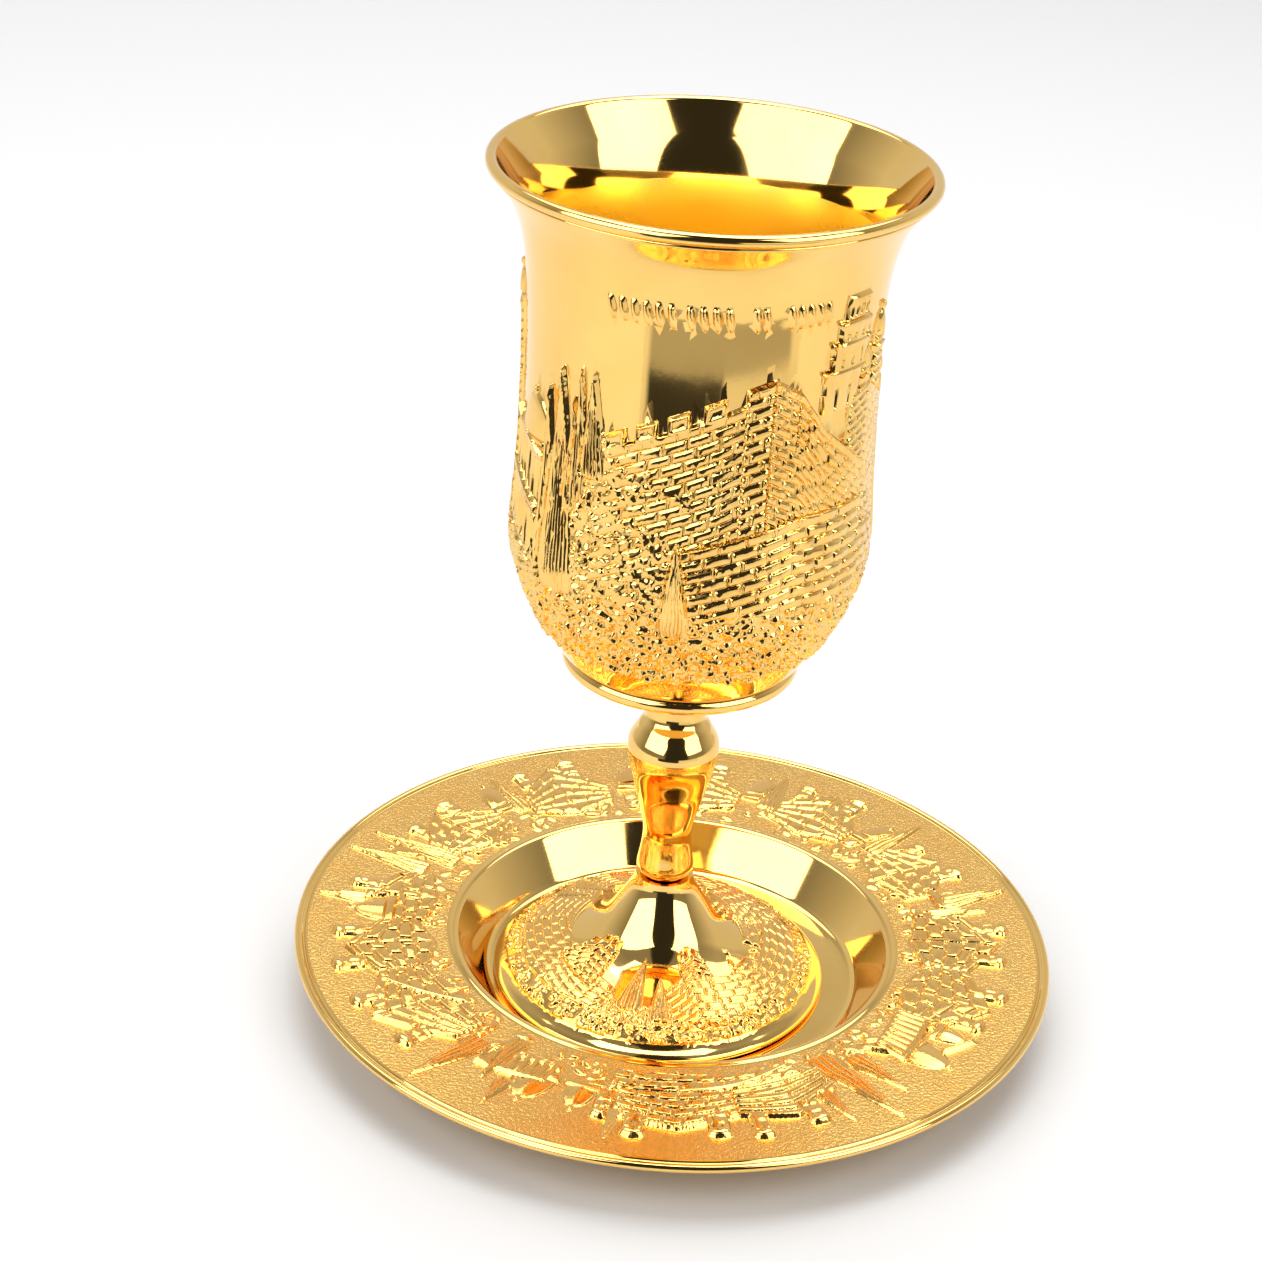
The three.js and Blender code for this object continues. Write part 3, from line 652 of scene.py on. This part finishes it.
def make_bowl():
    shares = np.linspace(0.075, 0.865, 460)
    band = carved_band(bowl_curve, shares, bowl_scene(), lambda spots: spots[:, 1], 1280, 0.3, 152000)
    gap = 0.004
    above = bowl_curve.at(np.linspace(shares[-1] + gap, 1, 16))[0]
    below = bowl_curve.at(np.linspace(0.02, shares[0] - gap, 6))[0]
    inner = bowl_curve.beside(np.linspace(0.955, 0.1, 44), -BOWL_WALL)
    lip = np.vstack([
        arc((35.62, 88.82), 0.42, -75, 70, 5),
        arc((36.2, 90.35), 1.0, -75, 170, 16),
    ])
    base = rounded([(BASE - 2.6, 0, 0), (BASE - 0.5, 0, 0.5), (BASE, 0.6, 0.4), (BASE, 1.7, 0.4),
                    (BASE - 0.45, 2.2, 0)])
    floor = inner[-1]
    bottom = rounded([tuple(floor), (floor[0] - 4.2, 6.6, 3.5), (0, 5.0)], 8)
    start = np.array([[0, -1], [5.9, -1], [6.1, -0.8], [BASE - 3.4, 0]])
    outline = np.vstack([start, base, below])
    rest = np.vstack([above, lip, inner, bottom[1:]])
    parts = [band, turned(outline, 160, 0.3), turned(rest, 160, 0.3)]
    return closed(parts, bowl_curve.at(shares[[0, -1]])[0], 7)


def closed(parts, ends=(), cuts=0):
    """Joins the parts, and bridges the open rims that meet at each end of the carved band. The
    plain rims are first cut into as many edges as the band's have."""
    bm = bmesh.new()
    for part in parts:
        bm.from_mesh(part)
    along = bm.verts.layers.float["along"]
    rims = [edge for edge in bm.edges if edge.is_boundary and edge.verts[0][along] == PLAIN]
    if rims:
        bmesh.ops.subdivide_edges(bm, edges=rims, cuts=cuts)
    loops = {}
    for edge in bm.edges:
        if edge.is_boundary:
            middle = (edge.verts[0].co + edge.verts[1].co) / 2
            loops.setdefault(nearest_end(middle, ends), []).append(edge)
    for edges in loops.values():
        bmesh.ops.bridge_loops(bm, edges=edges)
    bmesh.ops.recalc_face_normals(bm, faces=bm.faces)
    return bm


# Stem

stem_curve = Curve([
    (5.2, 1.92), (4.5, 9.37), (6.59, 18.3), (8.3, 26.6), (6.65, 30.9), (5, 33.65), (5, 40.5), (5, 42.3),
])


def make_stem():
    collar = rounded([(0, 0), (3.9, 0, 0.3), (4.75, 0.35, 0.6), (5.2, 1.2, 0.5)], 5)
    outline = np.vstack([collar, stem_curve.at(np.linspace(0, 1, 90))[0], [(4.8, 42.6), (0, 42.6)]])
    return closed([turned(outline, 128)])


# Foot

FOOT, DOME, NECK, FOOT_TALL, FOOT_WALL = 30.8, 28.7, 5.3, 21.3, 1.9
drop = FOOT_TALL - 2.4
foot_curve = Curve([(NECK + (DOME - NECK) * out, 2.4 + drop * up) for out, up in (
    (1, 0), (0.84, 0.13), (0.62, 0.23), (0.41, 0.32), (0.25, 0.46), (0.13, 0.66), (0.03, 0.87), (0, 1))])


def foot_scene():
    """Heights here are counted from the flange inwards."""
    sheet = Sheet(0, 19.5, lambda up: DOME - up)
    masonry = dict(joint=0.17, grain=0.4, uneven=0.03)
    wall(sheet, [(-150, 11), (-120, 13.5), (-84, 12)], [(-150, 3.2), (-84, 3.2)], 0.62, 1.6, 3.2, **masonry)
    wall(sheet, [(84, 13), (122, 14.5), (150, 12)], [(84, 3), (150, 3.2)], 0.62, 1.6, 3.4, **masonry)
    wall(sheet, [(150, 10), (172, 13), (212, 11)], [(150, 3.2), (212, 3.2)], 0.62, 1.6, 3.2,
         (156, 166, 178, 190, 202), (5, 1.4), **masonry)
    wall(sheet, [(-100, 11), (-60, 13), (-24, 9.5)], [(-100, 3.2), (-24, 4.2)], 0.7, 1.6, 3.2, **masonry)
    wall(sheet, [(-64, 14.0), (-48, 16.6), (-34, 16)], [(-64, 9.5), (-34, 8)], 0.85, 1.4, 2.0,
         (-60, -52, -44, -37), (4.5, 1.3), **masonry)
    wall(sheet, [(30, 12.5), (56, 10), (110, 9.5)], [(30, 3), (110, 3)], 0.7, 1.55, 3.4, **masonry)
    wall(sheet, [(6, 10.5), (20, 13.8), (32, 13)], [(6, 4.4), (32, 3)], 0.8, 1.6, 3.2, **masonry)
    wall(sheet, [(17, 15.6), (28, 17), (38, 15.4)], [(17, 12), (38, 12)], 0.9, 1.3, 1.8,
         (20, 27, 34), (5, 1.2), **masonry)
    dome(sheet, 62, 2.4, 9.8, 14, 0.8)
    tower(sheet, 118, 2.6, 8, 16, 0.8, 1.3, 2, doors=(0.6,))
    dome(sheet, 186, 2.4, 11, 15.5, 0.8, ribs=6)
    leaves(sheet, [(44, 11), (60, 10.5), (84, 11.5)], [(44, 8), (84, 8)], 0.8, 0.8, 1.5, 9)
    leaves(sheet, [(-30, 9), (-16, 7), (6, 7)], [(-30, 3), (6, 3)], 0.8, 0.8, 1.5, 10)
    leaves(sheet, [(-180, 4.6), (-120, 3.8), (-40, 5), (0, 5.5), (60, 3.8), (180, 4.6)],
           [(-180, 0.1), (180, 0.1)], 0.9, 0.8, 1.4, 8)
    for at, half, low, high, lean in (
            (-12, 2.4, 5.4, 16.2, 0.5), (3, 2.1, 4, 13, 0), (222, 2, 4.5, 15, 0),
            (234, 1.8, 4.5, 13, 0), (-158, 2, 4.5, 14, 0)):
        cypress(sheet, at, half, low, high, 0.9, 6, lean, at)
    sheet.soften(1)
    return sheet


def make_foot():
    shares = np.linspace(0.012, 0.64, 170)
    band = carved_band(foot_curve, shares, foot_scene(), lambda spots: DOME - spots[:, 0], 980, 0.2, 130000)
    gap = 0.006
    neck = foot_curve.at(np.linspace(shares[-1] + gap, 1, 22))[0]
    flange = rounded([(DOME - 2.2, 0, 0), (FOOT - 0.4, 0, 0.2), (FOOT, 0.25, 0.2), (FOOT, 1.0, 0.4),
                      (FOOT - 0.7, 1.55, 0.5), (DOME + 0.35, 2.1, 0)], 4)
    hollow = foot_curve.beside(np.linspace(0.42, 0.07, 12), -FOOT_WALL)
    below = turned(np.vstack([[(0, 7.6), (hollow[0][0] * 0.6, 7.3)], hollow, flange]), 140, 0.2)
    above = turned(np.vstack([neck, [(NECK - 0.3, FOOT_TALL), (0, FOOT_TALL)]]), 140, 0.2)
    return closed([band, below, above], foot_curve.at(shares[[0, -1]])[0], 6)


# Saucer

EDGE, EDGE_TALL, WELL, WELL_TOP, WELL_FLOOR = 70.0, 10.6, 34.4, 39.9, 1.8
CREST = 0.9                 # what is raised more than this on the saucer is polished
rim_curve = Curve([(EDGE - 2.4, EDGE_TALL), (WELL_TOP + 2.1, EDGE_TALL - 0.5)])


def saucer_scene():
    """Heights here are distances from the saucer's middle, its sky towards the edge."""
    sheet = Sheet(41.9, 67.6, lambda up: up)
    masonry = dict(joint=0.26, grain=0.46, uneven=0.03, fan=True)
    # gardens along the well, then the quarters of the town
    for top, foot, seed in (
            ([(-104, 48), (-50, 49), (-34, 51), (-24, 51), (-8, 50)], [(-104, 43), (-8, 43)], 11),
            ([(-8, 46), (28, 47), (40, 51), (54, 50)], [(-8, 43), (54, 43)], 13),
            ([(54, 47.6), (80, 47), (104, 48), (122, 50)], [(54, 43), (122, 43)], 14),
            ([(120, 50), (200, 49.5), (256, 49)], [(120, 43), (256, 43)], 16)):
        leaves(sheet, top, foot, 1.7, 0.6, 0.42, seed, 0.0, 1.9)
    for start, rise in ((112, 0), (140, 1.5), (168, 0.5), (198, 2), (226, 0)):
        corner = start + 9
        turret(sheet, corner + 6, 1.6, 55 + rise, 59 + rise, 0.7)
        wall(sheet, [(start - 1, 53), (corner, 60 + rise)], [(start - 1, 47.5), (corner, 44.5)],
             0.62, 2.2, 4.0, **masonry)
        wall(sheet, [(corner, 60 + rise), (start + 19, 53)], [(corner, 44.5), (start + 19, 47.5)],
             0.55, 2.2, 3.4, **masonry)
        turret(sheet, corner - 4, 1.8, 56 + rise, 60.5 + rise, 0.75)
        dome(sheet, start + 23, 3.4, 51.5, 59 + rise, 0.75, drum=0.2)
        cypress(sheet, start + 20, 2.6, 50, 65 - rise, 0.6, 4, 0.3, start)
    for top, foot, course, length in (
            ([(-104, 53), (-95, 59)], [(-104, 47.5), (-95, 44.6)], 2.5, 4.8),
            ([(-95, 59), (-86, 55)], [(-95, 44.6), (-86, 46.5)], 2.4, 4.4),
            ([(-86, 54), (-77, 61)], [(-86, 47.5), (-77, 44.4)], 2.5, 5.0),
            ([(-77, 61), (-68, 56)], [(-77, 44.4), (-68, 47)], 2.4, 4.2),
            ([(-68, 56), (-56, 62)], [(-68, 47), (-56, 44.2)], 2.2, 4.8),
            ([(-56, 62), (-43, 53)], [(-56, 44.2), (-43, 46.5)], 2.0, 4.2),
            ([(-8, 57.5), (3, 60), (14, 56.5)], [(-8, 50), (14, 49.5)], 2.0, 3.6),
            ([(14, 56.5), (24, 58.5), (34, 54)], [(14, 49), (34, 47)], 1.5, 12),
            ([(-10, 50.2), (10, 49.6), (30, 48)], [(-10, 45), (30, 44.5)], 1.9, 3.6),
            ([(62, 54), (72, 61)], [(62, 47.5), (72, 44.4)], 2.5, 4.8),
            ([(72, 61), (83, 55)], [(72, 44.4), (83, 47)], 2.4, 4.4),
            ([(83, 55), (93, 61)], [(83, 47), (93, 44.4)], 2.5, 5.0),
            ([(93, 61), (105, 54)], [(93, 44.4), (105, 47.5)], 2.4, 4.4)):
        wall(sheet, top, foot, 0.8, course, length, **masonry)
    for at, half, high in (
            (-98, 1.6, 60.5), (-82, 1.7, 61.5), (-72, 1.9, 62.5), (-61, 1.7, 62.3), (-48, 1.9, 60.5),
            (-10, 1.6, 57.6), (-4, 1.9, 61.4), (10, 1.9, 60.4), (17, 1.7, 61.4), (27, 1.8, 60),
            (67, 1.7, 60), (77, 1.9, 61.6), (88, 1.7, 60.5), (98, 1.9, 62)):
        turret(sheet, at, half, high - 4.5, high, 0.85)
    strip(sheet, [(3, 49.6), (16, 48), (29, 44.6)], 2.0, 1.0, 0.8)
    strip(sheet, [(-66, 56.5), (-51, 44.8)], 1.7, 1.0, 0.7)
    strip(sheet, [(47, 47), (55, 57.5), (63, 61.5)], 1.6, 0.9, 0.7)
    for at, half, low, high in (
            (-24, 3.9, 50.5, 59), (-15, 3.0, 50.5, 57.5), (54, 3.6, 53, 61), (62, 2.4, 54, 60),
            (-90, 4.0, 52, 59.8), (109, 3.2, 52, 59)):
        dome(sheet, at, half, low, high, 0.85, 5, 0.2)
    arcade(sheet, 50, 64, (48.5, 46), (55, 52.5), 8, 0.7)
    arcade(sheet, -36, -22, (50, 48), (55.5, 53.5), 7, 0.7)
    for at, half, low, high, lean in (
            (-39, 2.8, 50, 66.3, -1.6), (-33, 2.2, 45, 58, 1.0), (-28, 1.8, 56, 64, 0),
            (37, 3.2, 45, 66.4, 2.2), (43, 2.6, 48, 61, 1.0), (108, 2.8, 54, 66.8, 1.4),
            (104, 2.2, 50, 61, 0), (-107, 3.0, 50, 66.8, -1.0), (-113, 2.6, 46, 60, 0),
            (-93, 2.2, 58, 67, 0), (-8, 1.5, 56, 64, 0), (31, 1.8, 54, 63, 1.0)):
        cypress(sheet, at, half, low, high, 0.7, 4, lean, at)
    sheet.soften(1)
    return sheet


def make_saucer():
    shares = np.linspace(0.0, 1.0, 140)
    band = carved_band(rim_curve, shares, saucer_scene(), lambda spots: spots[:, 0], 2048, 0.2, 140000)
    inner_band = np.array([(WELL_TOP + 1.9, EDGE_TALL - 0.5), (WELL_TOP + 1.5, EDGE_TALL - 0.5)])
    well = rounded([
        tuple(inner_band[-1]), (WELL_TOP + 1.0, EDGE_TALL - 0.32, 0.4),
        (WELL_TOP + 0.1, EDGE_TALL - 0.45, 0.5), (WELL + 0.1, WELL_FLOOR, 1.1),
        (WELL - 2.5, WELL_FLOOR, 0), (0, WELL_FLOOR)], 6)
    groove = rounded([
        (EDGE - 2.0, EDGE_TALL, 0), (EDGE - 1.75, EDGE_TALL - 0.28, 0.2),
        (EDGE - 1.5, EDGE_TALL - 0.1, 0.1), (EDGE - 1.4, EDGE_TALL)], 4)
    rolled = arc((EDGE - 0.75, EDGE_TALL - 0.52), 0.75, 140, -60, 16)
    edge = np.vstack([[(EDGE - 2.2, EDGE_TALL)], groove, rolled])
    under = rounded([
        (EDGE - 1.5, EDGE_TALL - 1.6, 0), (WELL_TOP + 1.5, EDGE_TALL - 2.1, 1.2),
        (WELL + 0.8, 0.9, 0.8), (WELL - 0.45, 0, 0.5), (WELL - 4, 0, 0), (0, 0)], 6)
    inner, outer = (turned(np.vstack(lines), 256, 0.2) for lines in ((inner_band, well[1:]), (edge, under)))
    return closed([band, inner, outer], rim_curve.at([0, 1])[0], 7)


finish_piece("gilt_bowl", "bowl", make_bowl(), bowl_curve, (CUP_OFFSET, 0, BOWL_BASE),
             [polished, sparkling, brushed_inside])
finish_piece("gilt_stem", "stem", make_stem(), None, (CUP_OFFSET, 0, STEM_BASE), [polished])
finish_piece("gilt_foot", "foot", make_foot(), foot_curve, (CUP_OFFSET, 0, FOOT_BASE), [polished, satin])
finish_piece("gilt_saucer", "saucer", make_saucer(), rim_curve, (0, 0, 0),
             [polished, satin, stippled], "ground", CREST)


# Floor, light and camera

BAY_START, BAY_END = 62, 324    # degrees round from the front between which the floor goes on
HORIZON = (-0.06, -0.02)        # heights of a unit ray between which the table gives way to the room


def pale(name, tone):
    material = bpy.data.materials.new(name)
    material.use_nodes = True
    shader = material.node_tree.nodes["Principled BSDF"]
    shader.inputs["Base Color"].default_value = (tone, tone, tone, 1)
    shader.inputs["Roughness"].default_value = 0.6
    return material


def make_floor():
    """A pale round sheet with a bay cut into it in front of the cup, out of the picture."""
    near, far = 0.232, 1.15
    turns = np.radians(np.arange(0, 360, 2))
    bm = bmesh.new()
    rings = [[bm.verts.new((radius * math.sin(turn), -radius * math.cos(turn), 0)) for turn in turns]
             for radius in (near, far)]
    bm.faces.new(rings[0])
    for i, turn in enumerate(np.degrees(turns)):
        if BAY_START <= turn < BAY_END:
            j = (i + 1) % len(turns)
            bm.faces.new((rings[0][i], rings[1][i], rings[1][j], rings[0][j]))
    bmesh.ops.delete(bm, geom=[vert for vert in bm.verts if not vert.link_faces], context="VERTS")
    mesh = as_mesh(bm)
    mesh.materials.append(pale("pale_floor", 0.62))
    floor = bpy.data.objects.new("floor", mesh)
    bpy.context.scene.collection.objects.link(floor)


def softbox(name, spot, aim, size, power):
    light = bpy.data.lights.new(name, "AREA")
    light.shape = "RECTANGLE"
    light.size, light.size_y = size
    light.energy = power
    lamp = bpy.data.objects.new(name, light)
    lamp.location = spot
    lamp.rotation_euler = (Vector(aim) - Vector(spot)).to_track_quat("-Z", "Y").to_euler()
    bpy.context.scene.collection.objects.link(lamp)


def studio():
    """A pale room, dark ahead of the cup between two broad softboxes. Below the horizon it shows
    what lies beyond the floor's bay: an olive field with a dark one to its left and further off."""
    world = bpy.data.worlds.new("studio")
    world.use_nodes = True
    bpy.context.scene.world = world
    tree = world.node_tree
    tree.nodes.clear()
    out = tree.nodes.new("ShaderNodeOutputWorld")
    ray_way = tree.nodes.new("ShaderNodeTexCoord").outputs["Generated"]
    way = node_in(tree, "ShaderNodeSeparateXYZ", {0: ray_way})
    rise = way.outputs["Z"]

    def maths(operation, *values):
        return node_in(tree, "ShaderNodeMath", dict(enumerate(values)), operation=operation).outputs[0]

    round_cup = maths("ARCTAN2", way.outputs["X"], maths("MULTIPLY", way.outputs["Y"], -1.0))

    def turn_from(middle):
        """The turn about the upright axis away from a middle, the same to both sides."""
        return maths("ABSOLUTE", maths("SUBTRACT", round_cup, math.radians(middle)))

    def over(value, start, end, low, high):
        """A level that goes from low to high between two values."""
        return node_in(tree, "ShaderNodeMapRange", {
            "Value": value, "From Min": start, "From Max": end, "To Min": low, "To Max": high}).outputs[0]

    def over_turn(middle, start, end, low, high):
        return over(turn_from(middle), math.radians(start), math.radians(end), low, high)

    def below_and_above(start, end, below, above):
        """One level for rays that rise less than the start, another for those above the end."""
        mix = node_in(tree, "ShaderNodeMix", {0: over(rise, start, end, 0.0, 1.0)}, data_type="FLOAT")
        tree.links.new(below, mix.inputs[2])
        tree.links.new(above, mix.inputs[3])
        return mix.outputs[0]

    gap = over_turn(10, 25, 33, 0.03, 0.27)
    behind = maths("MULTIPLY", over_turn(0, 80, 120, 0.0, 0.45), over(rise, 0.52, 0.64, 1.0, 0.4))
    dark_field = over_turn(-9, 23, 26, 0.04, 0.95)
    olive_field = over_turn(13, 45, 48, 0.5, 1.0)
    table = below_and_above(-0.452, -0.442, olive_field, dark_field)
    level = below_and_above(*HORIZON, table, maths("ADD", gap, behind))
    lit = node_in(tree, "ShaderNodeBackground", {"Strength": level, "Color": (1, 1, 1, 1)})
    seen = node_in(tree, "ShaderNodeBackground", {"Color": (1, 1, 1, 1), "Strength": 1.0})
    from_camera = tree.nodes.new("ShaderNodeLightPath").outputs["Is Camera Ray"]
    both = node_in(tree, "ShaderNodeMixShader", {0: from_camera, 1: lit.outputs[0], 2: seen.outputs[0]})
    tree.links.new(both.outputs[0], out.inputs["Surface"])
    softbox("softbox_left", (-0.728, -0.633, 0.706), (0, 0, 0.08), (1.17, 0.84), 10.4)
    softbox("softbox_right", (0.818, -0.511, 0.706), (0, 0, 0.08), (0.84, 0.84), 7.4)
    softbox("softbox_above", (0, 0.15, 1.2), (0, 0, 0), (0.9, 0.7), 8.5)
    softbox("softbox_behind", (0, 0.66, 1.15), (0, 0.66, 0), (1.6, 0.8), 9.5)


def camera():
    """The photograph's view, found from the outlines of the lip, the well and the saucer."""
    eye, aim, roll = Vector((0, -425.23, 292.84)), Vector((-11.233, 0, 72.5)), 0.0625
    data = bpy.data.cameras.new("camera")
    data.lens = 77.64
    data.sensor_width = 36
    data.clip_start = 0.01
    forward = (aim - eye).normalized()
    right = forward.cross(Vector((0, 0, 1))).normalized()
    up = right.cross(forward)
    tilted = right * math.cos(roll) + up * math.sin(roll)
    upward = up * math.cos(roll) - right * math.sin(roll)
    view = bpy.data.objects.new("camera", data)
    turn = Matrix((tilted, upward, -forward)).transposed().to_4x4()
    view.matrix_world = Matrix.Translation(eye * MM) @ turn
    bpy.context.scene.collection.objects.link(view)
    bpy.context.scene.camera = view


make_floor()
studio()
camera()
bpy.context.scene.cycles.glossy_bounces = 8
bpy.context.scene.view_settings.view_transform = "Standard"
bpy.context.scene.view_settings.look = "None"
